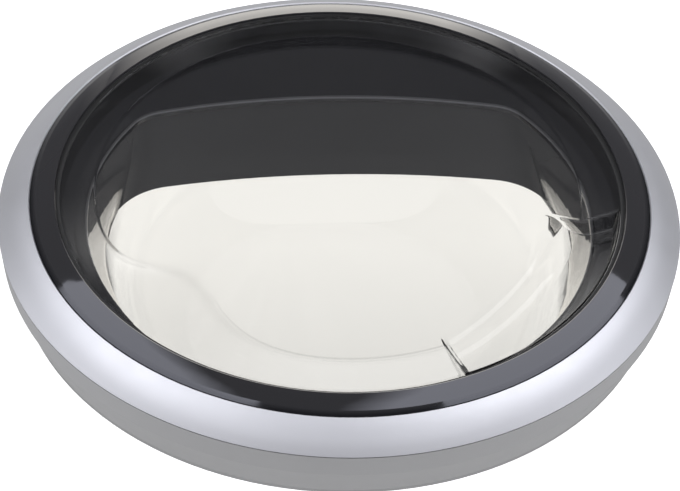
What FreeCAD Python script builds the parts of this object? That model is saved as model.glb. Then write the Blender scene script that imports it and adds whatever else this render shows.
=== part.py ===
import FreeCAD, Part
import math
import os

V = FreeCAD.Vector

# The door lies on its glass with its front face up, in millimetres.
# +Z points out of the front face, +Y to the top of the fitted door, +X to the grip side.
# The origin is the centre of the flat rear face of the glass.

# General sizes and clearances
WALL = 2.6                    # moulded wall thickness
RIB = 2.0                     # thickness of ribs
RUN = 0.3                     # gap between pieces that move against each other
FIT = 0.05                    # radial clearance of a shaft or screw in its hole
SEAT = 0.02                   # radial clearance of a pressed-in piece
BOWL_DEPTH = 112.0            # glass rear face to the seam circle
SEAM_H = BOWL_DEPTH

# Silver trim ring, a convex bevel
SEAM_R = 240.0                # widest circle of the door
SEAM_GAP = 0.4                # half of the dark joint line below the trim
TRIM_WIDTH = 22.6             # seam to the inner edge of the bevel
TRIM_RISE = 15.0              # height of that edge above the seam
TRIM_BULGE = 1.9              # how far the bevel swells beyond a straight cone
TRIM_EDGE = 0.9               # rounded corner at the inner edge
TRIM_RIB_INSET = 11.0         # seam to the outer supporting rib
TAB_COUNT = 8                 # snap tabs
TAB_W = 14.0
TAB_INSET = 14.2
TAB_T = 2.2
TAB_HOOK = 1.4
TRIM_IN_R = SEAM_R - TRIM_WIDTH
TRIM_RIB_R = SEAM_R - TRIM_RIB_INSET
TAB_R = SEAM_R - TAB_INSET

# Grey side body, two facets below the seam
DECK_RISE = 2.0               # ring deck that carries trim and bezel
DECK_STEP = 13.4              # inner edge of the deck behind the edge of the trim
FACET_STEP = 1.8
FACET_DROP = 18.0
FOOT_STEP = 10.2
FOOT_DROP = 25.4
GUSSET_COUNT = 24
GUSSET_INSET = 18.0
GUSSET_DROP = 30.0
DECK_TOP = SEAM_H + DECK_RISE
DECK_IN_R = TRIM_IN_R - DECK_STEP
FACET_R = SEAM_R - FACET_STEP
FACET_H = SEAM_H - FACET_DROP
FOOT_R = FACET_R - FOOT_STEP
FOOT_H = FACET_H - FOOT_DROP
GUSSET_IN_R = SEAM_R - GUSSET_INSET

# Black bezel ring, from the trim inwards
EDGE_RISE = 14.8              # outer edge above the seam
STRIP_W = 3.6                 # chamfered strip along the trim
STRIP_RISE = 1.7
BAND_W = 12.9
BAND_RISE = 3.0
BAND_CROWN = 0.2              # arc of the band over its chord
SEAT_WALL = 0.8               # softened crest
SEAT_W = 2.8                  # ledge for the clear cover
LEDGE_DROP = 4.5
EDGE_H = SEAM_H + EDGE_RISE
STRIP_H = EDGE_H + STRIP_RISE
CREST_H = STRIP_H + BAND_RISE
LEDGE_H = CREST_H - LEDGE_DROP
BEZEL_R = TRIM_IN_R - RUN
BAND_OUT_R = BEZEL_R - STRIP_W
BAND_IN_R = BAND_OUT_R - BAND_W
SEAT_OUT_R = BAND_IN_R - SEAT_WALL
SEAT_IN_R = SEAT_OUT_R - SEAT_W

# D-shaped throat: a circle closed at the top by a flatter arc with rounded corners
COLLAR_RUN = 2.0              # steep collar below the cover ledge
COLLAR_DROP = 14.5
FUNNEL_RUN = 17.0             # foot of the collar to the throat
FUNNEL_DROP = 8.5
THROAT_CUT = 46.0             # circle to the middle of the flatter arc
THROAT_ARC = 570.0
THROAT_CORNER = 30.0
THROAT_EDGE = 3.0             # rounded edge of the throat
THROAT_EDGE_STEPS = 4
THROAT_LIP = 5.0              # depth of the lip turned down round the throat
MOUTH_STEP = 13.0             # throat to the rear mouth of the deep wall
MOUTH_CUT = 82.6
MOUTH_ARC = 742.0
MOUTH_CORNER = 50.0
SHROUD_DEPTH = 28.0
SHROUD_FLANGE = 14.0
COLLAR_R = SEAT_IN_R - COLLAR_RUN
COLLAR_H = LEDGE_H - COLLAR_DROP
THROAT_R = COLLAR_R - FUNNEL_RUN
THROAT_TOP = THROAT_R - THROAT_CUT
THROAT_H = COLLAR_H - FUNNEL_DROP
MOUTH_R = THROAT_R - MOUTH_STEP
MOUTH_TOP = MOUTH_R - MOUTH_CUT
SHROUD_TOP = THROAT_H - THROAT_LIP
SHROUD_FOOT = SHROUD_TOP - SHROUD_DEPTH

# Clear cover: a shallow dish, set towards the top, with a swelling at the lower left
GASKET_T = 0.6
COVER_T = 2.6                 # clear cover thickness
DISH_STEP = 25.0              # ledge to the edge of the dish floor at the sides
DISH_UP = 18.5                # offset of the dish towards the top of the door
DISH_DROP = 11.0              # ledge to the dish floor
DISH_SWELL = 35.0             # how far its wall swells inwards
DISH_SWELL_AT = -147.0
DISH_SWELL_SIDE = 12.0        # spread of the swelling towards the hinge, in degrees
DISH_SWELL_DOWN = 24.0        # and towards the bottom of the door
DISH_POINTS = 72
DISH_R = SEAT_IN_R - DISH_STEP
DISH_H = LEDGE_H - DISH_DROP

# Grip pocket: a sloping floor turned about its own centre, between two end walls
POCKET_REACH = 59.4           # ledge to the middle of the inner edge
POCKET_ARC = 250.0            # radius of the inner edge
POCKET_RUN = 24.0             # length of the slope
POCKET_DEPTH = 10.0           # dish floor to pocket floor
POCKET_DRAFT = 3.0
POCKET_GAP = 0.4              # pocket to bezel
POCKET_WALL = 1.9
POCKET_UPPER = (-5.0, -8.7)   # angles of the inner and outer end of each end wall
POCKET_LOWER = (-65.4, -67.8)
POCKET_MID = -37.0
POCKET_R = SEAT_IN_R - POCKET_REACH
POCKET_FLOOR = DISH_H - POCKET_DEPTH

# Glass bowl
FLANGE_W = 13.0
FLANGE_T = 5.5
GLASS_T = 5.0
SEAL_T = 1.5
WAIST_STEP = 10.0             # inner radius at the flange to the outer radius half way down
WAIST_H = 23.5
SHOULDER_STEP = 21.0
SHOULDER_H = 7.5
FLAT_STEP = 26.0
SLANT_STEP = 3.0              # slanted upper face, from the neck radius at the flange
SLANT_RUN = 58.0              # and its run towards the axis at the rear face
BOWL_NECK_R = MOUTH_R
FLANGE_R = BOWL_NECK_R + FLANGE_W
FLANGE_TOP = SHROUD_FOOT - SEAL_T
BOWL_WAIST_R = BOWL_NECK_R - WAIST_STEP
BOWL_SHOULDER_R = BOWL_WAIST_R - SHOULDER_STEP
BOWL_FLAT_R = BOWL_SHOULDER_R - FLAT_STEP
SLANT_TOP = BOWL_NECK_R - SLANT_STEP
SLANT_LOW = SLANT_TOP - SLANT_RUN

# Rear frame
REAR_T = 3.0
REAR_INSET = 0.4
REAR_LIP_W = 5.4
REAR_STEP_GAP = 2.1
REAR_RIM = 4.4
REAR_RIB_COUNT = 32
REAR_RIB_H = 4.5
REAR_R = FOOT_R - REAR_INSET
REAR_LIP_R = FLANGE_R - REAR_LIP_W
REAR_STEP_R = FLANGE_R + SEAL_T + REAR_STEP_GAP

# Screws
SCREW_R = 1.5
SCREW_HEAD_R = 3.6
SCREW_HEAD_H = 2.2
CROSS_W = 0.9
CROSS_L = 3.6
CROSS_D = 1.2
BOSS_R = 4.2
FRAME_SCREW_INSET = 15.0
FRAME_SCREW_L = 14.0
FRAME_SCREW_ANGLES = [24, 57, 90, 123, 156, 204, 237, 270, 303, 336]
BEZEL_SCREW_INSET = 8.2
BEZEL_SCREW_L = 9.0
BEZEL_BOSS_R = 3.4
BEZEL_SCREW_ANGLES = [8, 40, 74, 106, 140, 172, 220, 254, 286, 320]
SHROUD_SCREW_L = 6.0
SHROUD_SCREW_OUT = 8.5
SHROUD_BOSS_R = 3.2
SHROUD_SCREW_ANGLES = [50, 90, 130, 170, 205, 240, 270, 300, 335, 10]
FRAME_SCREW_R = FOOT_R - FRAME_SCREW_INSET
BEZEL_SCREW_R = TRIM_IN_R - BEZEL_SCREW_INSET

# Hinge at the left edge, its axis along Y
HINGE_INSET = 15.0            # rear edge of the side to the hinge axis
HINGE_DROP = 16.6
HINGE_PIN_R = 3.0
BARREL_R = 6.0
BARREL_HALF = 13.6
BUSH_R = 4.5
BUSH_FLANGE = 1.0
BUSH_L = 10.0
EAR_W = 8.0
EAR_BACK = 4.0
LEAF_T = 2.8
LEAF_HALF = 37.0
LEAF_REACH = 21.0             # hinge axis to the inner edge of the leaf
LEAF_CORNER = 5.0
LEAF_SCREW_R = 2.5
LEAF_SCREW_HEAD_R = 4.4
LEAF_SCREW_HEAD_H = 2.8
LEAF_SCREW_REACH = 12.5
LEAF_SCREW_EDGE = 6.5
LEAF_SCREW_NEAR = 10.0
STIFF_T = 2.0
BRACKET_T = 3.0
BRACKET_DROP = 11.5           # hinge axis to the face that meets the cabinet
BRACKET_REACH = 37.0
BRACKET_HALF = 42.0
BRACKET_HOLE_R = 2.75
BRACKET_HOLES_X = 20.0
BRACKET_HOLES_Y = 66.0
BRACKET_HOLES_REACH = 21.0
PIN_HEAD_R = 4.6
PIN_HEAD_T = 1.6
CLIP_T = 0.8
CLIP_R = 5.0
CLIP_GAP = 3.4
GROOVE_R = 2.3
HINGE_X = HINGE_INSET - FOOT_R
HINGE_H = FOOT_H - HINGE_DROP
LEAF_OUT_X = HINGE_X - EAR_BACK
LEAF_IN_X = HINGE_X + LEAF_REACH
LEAF_SCREW_X = HINGE_X + LEAF_SCREW_REACH
LEAF_SCREW_FAR = LEAF_HALF - LEAF_SCREW_EDGE
LEAF_SCREW_Y = [-LEAF_SCREW_FAR, -LEAF_SCREW_NEAR, LEAF_SCREW_NEAR, LEAF_SCREW_FAR]
BRACKET_IN_X = HINGE_X + BRACKET_REACH
BRACKET_HOLES_MID = HINGE_X + BRACKET_HOLES_REACH

# Latch at the right edge, hook axis along Y
LATCH_INSET = 23.0            # rear edge of the side to the hook axis
LATCH_RISE = 8.4
LATCH_PIN_R = 2.0
LATCH_PIN_HEAD_R = 3.2
LATCH_PIN_HEAD_T = 1.4
HOOK_W = 9.0
HOOK_HALF = 4.0
HOOK_REACH = 39.0
HOOK_NOSE = 11.0
HOOK_NOSE_T = 9.5
HOOK_TIP = 3.2
HOOK_BOSS_R = 5.4
HOUSE_IN = 10.4               # half width inside the latch housing
HOUSE_BACK = 9.0
HOUSE_FRONT = 12.4
HOUSE_H = 17.0
HOUSE_WALL = 2.4
HOUSE_EAR = 11.0
HOUSE_EAR_T = 5.0
SLOT_BACK = 7.4
SLOT_FRONT = 8.4
SPRING_WIRE = 0.5
SPRING_TURNS = 4
SPRING_PITCH = 1.2
SPRING_FOOT = 4.0
WIRE_SIDES = 8
LATCH_X = FOOT_R - LATCH_INSET
LATCH_H = FOOT_H + LATCH_RISE
HOUSE_X0 = LATCH_X - HOUSE_BACK
HOUSE_X1 = LATCH_X + HOUSE_FRONT
HOOK_SLOT_X0 = LATCH_X - SLOT_BACK
HOOK_SLOT_X1 = LATCH_X + SLOT_FRONT


# Shape makers

def ring(points, arched=None, crown=0):
    """Solid of revolution about Z from a closed list of (radius, height).
    The side that starts at corner number arched is an arc, raised by crown in its middle."""
    corners = [V(r, 0, h) for r, h in points]
    sides = []
    for k, (a, b) in enumerate(zip(corners, corners[1:] + corners[:1])):
        if k == arched:
            sides.append(Part.Arc(a, (a + b) / 2 + V(0, 0, crown), b).toShape())
        else:
            sides.append(Part.makeLine(a, b))
    return Part.Face(Part.Wire(sides)).revolve(V(0, 0, 0), V(0, 0, 1), 360)


def disc(radius, low, high):
    return Part.makeCylinder(radius, high - low, V(0, 0, low))


def post(x, y, low, high, radius):
    return Part.makeCylinder(radius, high - low, V(x, y, low))


def rod(radius, x, height, y0, y1):
    """Round bar along Y."""
    return Part.makeCylinder(radius, y1 - y0, V(x, y0, height), V(0, 1, 0))


def block(x0, x1, y0, y1, z0, z1):
    return Part.makeBox(x1 - x0, y1 - y0, z1 - z0, V(x0, y0, z0))


def polar(radius, degrees):
    a = math.radians(degrees)
    return radius * math.cos(a), radius * math.sin(a)


def fuse(shapes):
    first = shapes[0]
    return first.fuse(shapes[1:]).removeSplitter()


def turned(shape, degrees):
    copy = shape.copy()
    copy.rotate(V(0, 0, 0), V(0, 0, 1), degrees)
    return copy


def d_wire(radius, top, arc, corner, grow, height):
    """Four-arc D outline, grown outwards by grow, at a height."""
    r, t, a, c = radius + grow, top + grow, arc + grow, corner + grow
    mid = t - a
    y = ((r - c) ** 2 - (a - c) ** 2 + mid ** 2) / (2 * mid)
    x = math.sqrt((r - c) ** 2 - y ** 2)
    side = V(x, y, 0) * (r / (r - c))
    upper = V(0, mid, 0) + V(x, y - mid, 0) * (a / (a - c))
    half = V(side.x / r + upper.x / a, side.y / r + (upper.y - mid) / a, 0)
    bend = V(x, y, 0) + half * (c / half.Length)
    lift = V(0, 0, height)

    def left(p):
        return V(-p.x, p.y, p.z)

    edges = [
        Part.Arc(left(side) + lift, V(0, -r, height), side + lift).toShape(),
        Part.Arc(side + lift, bend + lift, upper + lift).toShape(),
        Part.Arc(upper + lift, V(0, t, height), left(upper) + lift).toShape(),
        Part.Arc(left(upper) + lift, left(bend) + lift, left(side) + lift).toShape(),
    ]
    angles = [math.atan2(side.y, side.x), math.atan2(upper.y, upper.x)]
    return Part.Wire(edges), angles


def split_circle(radius, angles, height):
    """Circle cut into four arcs at the same angles as a D outline."""
    a, b = angles

    def at(t):
        return V(radius * math.cos(t), radius * math.sin(t), height)

    stops = [math.pi - a, 2 * math.pi + a, 2 * math.pi + b, 3 * math.pi - b, 3 * math.pi - a]
    edges = []
    for t0, t1 in zip(stops[:-1], stops[1:]):
        edges.append(Part.Arc(at(t0), at((t0 + t1) / 2), at(t1)).toShape())
    return Part.Wire(edges)


def throat(grow, height):
    return d_wire(THROAT_R, THROAT_TOP, THROAT_ARC, THROAT_CORNER, grow, height)


def mouth(grow, height):
    return d_wire(MOUTH_R, MOUTH_TOP, MOUTH_ARC, MOUTH_CORNER, grow, height)


def loft(low, high):
    return Part.makeLoft([low, high], True, True)


def prism(wire, up):
    return Part.Face(wire).extrude(V(0, 0, up))


def throat_point(out, degrees):
    """Point on the throat outline grown by out, in a direction from the axis."""
    ux, uy = polar(1.0, degrees)
    reach = THROAT_R + out
    mid = THROAT_TOP - THROAT_ARC
    arc = THROAT_ARC + out
    flat = uy * mid + math.sqrt((uy * mid) ** 2 - mid ** 2 + arc ** 2)
    reach = min(reach, flat)
    return ux * reach, uy * reach


def screw(radius, head_r, head_h, length):
    """Pan screw pointing up, the underside of its head at the origin."""
    body = Part.makeCylinder(radius, length).fuse(Part.makeCylinder(head_r, head_h, V(0, 0, -head_h)))
    cross = block(-CROSS_L / 2, CROSS_L / 2, -CROSS_W / 2, CROSS_W / 2, -head_h, CROSS_D - head_h)
    bar = block(-CROSS_W / 2, CROSS_W / 2, -CROSS_L / 2, CROSS_L / 2, -head_h, CROSS_D - head_h)
    cross = cross.fuse(bar)
    return body.cut(cross)


def put(shape, x, y, z):
    copy = shape.copy()
    copy.translate(V(x, y, z))
    return copy


def save(name, shape):
    shape.exportStep("parts/" + name + ".step")
    box = shape.BoundBox
    print(name, "solids", len(shape.Solids), "valid", shape.isValid(), "volume", round(shape.Volume),
          "z", round(box.ZMin, 2), round(box.ZMax, 2))


os.makedirs("parts", exist_ok=True)

# Silver trim ring: a swept bevel on two ribs, held by snap tabs through the deck
trim_low = SEAM_H + SEAM_GAP
trim_top = SEAM_H + TRIM_RISE
run = SEAM_R - TRIM_IN_R
rise = trim_top - trim_low
slope = math.hypot(run, rise)
swell = V(rise / slope, 0, run / slope)
mid_point = V((SEAM_R + TRIM_IN_R) / 2, 0, (trim_low + trim_top) / 2) + swell * TRIM_BULGE
outer_low = V(SEAM_R, 0, trim_low)
outer_top = V(TRIM_IN_R + TRIM_EDGE, 0, trim_top)
inner_top = V(TRIM_IN_R + WALL, 0, trim_top - WALL)
inner_low = V(SEAM_R - WALL * slope / rise, 0, trim_low)
inner_mid = mid_point - swell * WALL
trim_edges = [
    Part.Arc(outer_low, mid_point, outer_top).toShape(),
    Part.makeLine(outer_top, V(TRIM_IN_R, 0, trim_top - TRIM_EDGE)),
    Part.makeLine(V(TRIM_IN_R, 0, trim_top - TRIM_EDGE), V(TRIM_IN_R, 0, DECK_TOP)),
    Part.makeLine(V(TRIM_IN_R, 0, DECK_TOP), V(TRIM_IN_R + WALL, 0, DECK_TOP)),
    Part.makeLine(V(TRIM_IN_R + WALL, 0, DECK_TOP), inner_top),
    Part.Arc(inner_top, inner_mid, inner_low).toShape(),
    Part.makeLine(inner_low, outer_low),
]
trim_face = Part.Face(Part.Wire(trim_edges))
trim = trim_face.revolve(V(0, 0, 0), V(0, 0, 1), 360)
rib_top = (mid_point.z + inner_mid.z) / 2
under_trim = ring([(TRIM_RIB_R, DECK_TOP), (TRIM_RIB_R + RIB, DECK_TOP),
                   (TRIM_RIB_R + RIB, rib_top - RIB), (TRIM_RIB_R, rib_top - RIB / 2)])
deck_low = DECK_TOP - WALL
tab_top = trim_top - WALL
tab = block(TAB_R, TAB_R + TAB_T, -TAB_W / 2, TAB_W / 2, deck_low - TAB_HOOK - RUN, tab_top - RIB * 2)
hook_low = deck_low - TAB_HOOK - RUN
hook_points = [V(TAB_R, -TAB_W / 2, hook_low), V(TAB_R - TAB_HOOK, -TAB_W / 2, deck_low - RUN),
               V(TAB_R, -TAB_W / 2, deck_low - RUN)]
tab_hook = Part.Face(Part.makePolygon(hook_points + [hook_points[0]])).extrude(V(0, TAB_W, 0))
tab = tab.fuse(tab_hook)
tab_angles = [(k + 0.5) * 360.0 / TAB_COUNT for k in range(TAB_COUNT)]
trim = fuse([trim, under_trim] + [turned(tab, a) for a in tab_angles])
save("trim_ring", trim)

# Grey side body: faceted side wall, ring deck, gussets and screw posts
body_top = SEAM_H - SEAM_GAP
lean = WALL * 1.08
deck_out = TRIM_RIB_R + RIB + RUN
frame_body = ring([
    (SEAM_R, body_top), (FACET_R, FACET_H), (FOOT_R, FOOT_H), (FOOT_R - lean, FOOT_H),
    (FACET_R - lean, FACET_H), (SEAM_R - lean, deck_low), (DECK_IN_R, deck_low), (DECK_IN_R, DECK_TOP),
    (deck_out, DECK_TOP), (inner_low.x - RUN, body_top)])
gusset_low = deck_low - GUSSET_DROP
gusset_foot = FACET_R - lean - (FACET_R - FOOT_R) * (FACET_H - gusset_low) / (FACET_H - FOOT_H)
gusset_points = [V(GUSSET_IN_R, -RIB / 2, deck_low), V(SEAM_R - lean, -RIB / 2, deck_low),
                 V(FACET_R - lean, -RIB / 2, FACET_H), V(gusset_foot, -RIB / 2, gusset_low)]
gusset = Part.Face(Part.makePolygon(gusset_points + [gusset_points[0]])).extrude(V(0, RIB, 0))
gussets = [turned(gusset, (k + 0.25) * 360.0 / GUSSET_COUNT) for k in range(GUSSET_COUNT)]
posts = []
post_bores = []
for angle in FRAME_SCREW_ANGLES:
    x, y = polar(FRAME_SCREW_R, angle)
    posts.append(post(x, y, FOOT_H, DECK_TOP - WALL / 2, BOSS_R))
    post_bores.append(post(x, y, FOOT_H, FOOT_H + FRAME_SCREW_L, SCREW_R + FIT))
slots = [turned(block(TAB_R - TAB_HOOK - RUN, TAB_R + TAB_T + RUN, -TAB_W / 2 - RUN, TAB_W / 2 + RUN,
                      deck_low - RIB, DECK_TOP + RIB), a) for a in tab_angles]
bezel_holes = []
for angle in BEZEL_SCREW_ANGLES:
    x, y = polar(BEZEL_SCREW_R, angle)
    bezel_holes.append(post(x, y, deck_low - RIB, DECK_TOP + RIB, SCREW_R + FIT))
frame_body = fuse([frame_body] + gussets + posts).cut(post_bores + slots + bezel_holes)
save("outer_frame", frame_body)

# Black bezel ring: strip, rising band, cover ledge, steep collar and a panel down to the throat


def throat_edge(step):
    """Throat outline at one step of its rounded edge, from the hole up to the panel."""
    turn = math.pi / 2 * step / THROAT_EDGE_STEPS
    back = THROAT_EDGE * (1 - math.cos(turn))
    down = THROAT_EDGE * (1 - math.sin(turn))
    return throat(back, THROAT_H - down)


crest_soft = SEAT_WALL / 4
wall_back = BAND_IN_R + RIB
bezel_band = ring([
    (BEZEL_R, DECK_TOP), (BEZEL_R, EDGE_H), (BAND_OUT_R, STRIP_H), (BAND_IN_R, CREST_H),
    (SEAT_OUT_R + crest_soft, CREST_H - crest_soft), (SEAT_OUT_R, CREST_H - SEAT_WALL), (SEAT_OUT_R, LEDGE_H),
    (SEAT_IN_R - 3 * RIB, LEDGE_H), (SEAT_IN_R - 3 * RIB, LEDGE_H - WALL - RUN),
    (wall_back, LEDGE_H - WALL - RUN), (wall_back, CREST_H - WALL - SEAT_WALL), (BAND_OUT_R, STRIP_H - WALL),
    (BEZEL_R - WALL, EDGE_H - WALL), (BEZEL_R - WALL, DECK_TOP)], arched=2, crown=BAND_CROWN)
edge_wires = [throat_edge(k)[0] for k in range(THROAT_EDGE_STEPS + 1)]
edge_air = [loft(low, high) for low, high in zip(edge_wires[:-1], edge_wires[1:])]
throat_wire, throat_angles = throat(0, SHROUD_TOP - RIB)
hole_air = prism(throat_wire, THROAT_H - THROAT_EDGE - SHROUD_TOP + RIB)
panel_air = loft(edge_wires[-1], split_circle(COLLAR_R, throat_angles, COLLAR_H))
collar_air = ring([(0, COLLAR_H), (COLLAR_R, COLLAR_H), (SEAT_IN_R, LEDGE_H), (0, LEDGE_H)])
seat_air = disc(SEAT_IN_R, LEDGE_H - FIT, CREST_H)
panel_low = COLLAR_H - WALL
collar_out = COLLAR_R + WALL
under_wire, spare = throat(THROAT_EDGE, THROAT_H - WALL)
panel_skin = loft(under_wire, split_circle(collar_out, throat_angles, panel_low))
collar_skin = ring([(0, panel_low), (collar_out, panel_low),
                    (SEAT_IN_R + WALL + RIB / 2, LEDGE_H - TRIM_EDGE), (0, LEDGE_H - TRIM_EDGE)])
lip_wire, spare = throat(THROAT_EDGE + RIB, SHROUD_TOP)
lip_skin = prism(lip_wire, THROAT_LIP)
bosses = []
boss_bores = []
for angle in BEZEL_SCREW_ANGLES:
    x, y = polar(BEZEL_SCREW_R, angle)
    bosses.append(post(x, y, DECK_TOP, EDGE_H, BEZEL_BOSS_R))
    boss_bores.append(post(x, y, DECK_TOP, deck_low + BEZEL_SCREW_L + RUN, SCREW_R + FIT))
for angle in SHROUD_SCREW_ANGLES:
    x, y = throat_point(SHROUD_SCREW_OUT, angle)
    bosses.append(post(x, y, SHROUD_TOP, SHROUD_TOP + SHROUD_SCREW_L + RIB, SHROUD_BOSS_R))
    boss_bores.append(post(x, y, SHROUD_TOP, SHROUD_TOP + SHROUD_SCREW_L - WALL + RUN, SCREW_R + FIT))
bezel = fuse([bezel_band, collar_skin, panel_skin, lip_skin] + bosses)
for air in [collar_air, panel_air, seat_air, hole_air] + edge_air:
    bezel = bezel.cut(air)
bezel = bezel.cut(boss_bores)
save("bezel_ring", bezel)

# Deep black wall: a drafted D-shaped tube with a flange at each end
inner_top_wire, spare = throat(0, SHROUD_TOP)
inner_foot_wire, spare = mouth(0, SHROUD_FOOT)
outer_top_wire, spare = throat(WALL, SHROUD_TOP)
outer_foot_wire, spare = mouth(WALL, SHROUD_FOOT)
shroud_air = loft(inner_foot_wire, inner_top_wire)
shroud_skin = loft(outer_foot_wire, outer_top_wire)
flange_wire, spare = throat(SHROUD_FLANGE, SHROUD_TOP - WALL)
shroud_flange = prism(flange_wire, WALL)
seal_out_r = FLANGE_R + SEAT + SEAL_T
shroud_foot = disc(seal_out_r, SHROUD_FOOT, SHROUD_FOOT + WALL)
shroud_holes = []
for angle in SHROUD_SCREW_ANGLES:
    x, y = throat_point(SHROUD_SCREW_OUT, angle)
    shroud_holes.append(post(x, y, SHROUD_TOP - 2 * WALL, SHROUD_TOP + WALL, SCREW_R + FIT))
shroud = fuse([shroud_skin, shroud_flange, shroud_foot]).cut([shroud_air] + shroud_holes)
save("inner_shroud", shroud)

# Foam gasket under the rim of the clear cover
gasket_top = LEDGE_H + GASKET_T
save("cover_gasket", ring([(SEAT_IN_R, LEDGE_H), (SEAT_OUT_R - RUN, LEDGE_H),
                           (SEAT_OUT_R - RUN, gasket_top), (SEAT_IN_R, gasket_top)]))

# Clear cover: rim, offset dish with the swelling, and the grip pocket
cover_top = gasket_top + COVER_T
cover_out = SEAT_OUT_R - RUN


def closed_curve(radius_at, height):
    """Closed smooth curve from a radius given for each angle."""
    points = []
    for k in range(DISH_POINTS):
        degrees = k * 360.0 / DISH_POINTS
        x, y = polar(radius_at(degrees), degrees)
        points.append(V(x, y, height))
    curve = Part.BSplineCurve()
    curve.interpolate(points, PeriodicFlag=True)
    return Part.Wire([curve.toShape()])


def dish_radius(degrees):
    """Outline of the dish floor, an offset circle with the swelling of its wall."""
    across, up = polar(DISH_UP, degrees)
    radius = up + math.sqrt(DISH_R ** 2 - across ** 2)
    off = math.remainder(degrees - DISH_SWELL_AT, 360)
    spread = DISH_SWELL_DOWN if off > 0 else DISH_SWELL_SIDE
    return radius - DISH_SWELL * math.exp(-(off / spread) ** 2)


def rim_radius(degrees):
    return SEAT_IN_R - RUN


dish_air = loft(closed_curve(dish_radius, DISH_H), closed_curve(rim_radius, cover_top))
dish_skin = loft(closed_curve(lambda d: dish_radius(d) + COVER_T / 2, DISH_H - COVER_T),
                 closed_curve(lambda d: SEAT_IN_R - RUN, gasket_top))
collar_lean = COLLAR_RUN / COLLAR_DROP
funnel_lean = FUNNEL_RUN / FUNNEL_DROP


def wall_r(height, lean, inset):
    """Radius of the collar or of the funnel's round side, at an inset square to its face."""
    return COLLAR_R + (height - COLLAR_H) * lean - inset * math.hypot(1, lean)


def slope_edges(start, below):
    """Two arcs that run smoothly from the dish floor down to the pocket floor."""
    bend = (POCKET_RUN ** 2 + POCKET_DEPTH ** 2) / (4 * POCKET_DEPTH)
    turn = math.asin(POCKET_RUN / 2 / bend)
    upper, lower = bend - below, bend + below
    top_c = V(start, 0, DISH_H - bend)
    low_c = V(start + POCKET_RUN, 0, POCKET_FLOOR + bend)

    def on_upper(t):
        return top_c + V(math.sin(t), 0, math.cos(t)) * upper

    def on_lower(t):
        return low_c - V(math.sin(t), 0, math.cos(t)) * lower

    return [Part.Arc(on_upper(0), on_upper(turn / 2), on_upper(turn)).toShape(),
            Part.Arc(on_lower(turn), on_lower(turn / 2), on_lower(0)).toShape()]


def above_slope(start, below, top):
    """Space above the pocket floor, turned about the centre of its inner edge."""
    edges = slope_edges(POCKET_ARC + start, below)
    first = edges[0].Vertexes[0].Point
    last = edges[1].Vertexes[-1].Point
    far = POCKET_ARC + SEAT_OUT_R
    corners = [last, V(far, 0, last.z), V(far, 0, top), V(first.x, 0, top), first]
    for p, q in zip(corners[:-1], corners[1:]):
        edges.append(Part.makeLine(p, q))
    solid = Part.Face(Part.Wire(edges)).revolve(V(0, 0, 0), V(0, 0, 1), 360)
    x, y = polar(POCKET_R - POCKET_ARC, POCKET_MID)
    solid.translate(V(x, y, 0))
    return solid


def between_ends(spread, height):
    """Outline between the two end walls, each moved out by spread."""
    corners = []
    for (a_in, a_out), side in ((POCKET_UPPER, 1), (POCKET_LOWER, -1)):
        near = V(*polar(POCKET_R, a_in), 0)
        far = V(*polar(SEAT_IN_R, a_out), 0)
        along = (far - near).normalize()
        aside = V(-along.y, along.x, 0) * side * spread
        ends = [near - along * POCKET_REACH + aside, far + along * POCKET_REACH + aside]
        corners += ends if side > 0 else ends[::-1]
    corners = [c + V(0, 0, height) for c in corners]
    return Part.makePolygon(corners + [corners[0]])


def funnel_core(low, high, inset):
    """Space inside funnel and collar, at an inset from both."""
    steeper = math.hypot(1, funnel_lean) - math.hypot(1, collar_lean)
    bend = COLLAR_H + inset * steeper / (funnel_lean - collar_lean)
    return ring([(0, low), (wall_r(low, funnel_lean, inset), low), (wall_r(bend, collar_lean, inset), bend),
                 (wall_r(high, collar_lean, inset), high), (0, high)])


pocket_low = POCKET_FLOOR - COVER_T
pocket_air = above_slope(0, 0, cover_top + RIB)
pocket_air = pocket_air.common(loft(between_ends(-POCKET_DRAFT, POCKET_FLOOR),
                                    between_ends(POCKET_DRAFT, cover_top + RIB)))
pocket_air = pocket_air.common(funnel_core(POCKET_FLOOR, cover_top + RIB, POCKET_GAP + POCKET_WALL))
pocket_skin = above_slope(-WALL, COVER_T, gasket_top)
pocket_skin = pocket_skin.common(loft(between_ends(COVER_T - POCKET_DRAFT, pocket_low),
                                      between_ends(COVER_T + POCKET_DRAFT, gasket_top)))
pocket_skin = pocket_skin.common(funnel_core(pocket_low, gasket_top, POCKET_GAP))
rim_disc = disc(cover_out, gasket_top, cover_top)
cover = rim_disc.fuse([dish_skin, pocket_skin]).cut([dish_air, pocket_air])
save("window_cover", cover)

# Screws that hold the bezel to the deck and the deep wall to the bezel
small_screw = screw(SCREW_R, SCREW_HEAD_R, SCREW_HEAD_H, BEZEL_SCREW_L)
group = []
for angle in BEZEL_SCREW_ANGLES:
    x, y = polar(BEZEL_SCREW_R, angle)
    group.append(put(small_screw, x, y, deck_low))
save("bezel_screws", Part.makeCompound(group))
shroud_screw = screw(SCREW_R, SCREW_HEAD_R, SCREW_HEAD_H, SHROUD_SCREW_L)
group = []
for angle in SHROUD_SCREW_ANGLES:
    x, y = throat_point(SHROUD_SCREW_OUT, angle)
    group.append(put(shroud_screw, x, y, SHROUD_TOP - WALL))
save("shroud_screws", Part.makeCompound(group))

# Glass bowl: revolved, with a flat slanted face towards the top of the door
flange_low = FLANGE_TOP - FLANGE_T


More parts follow.
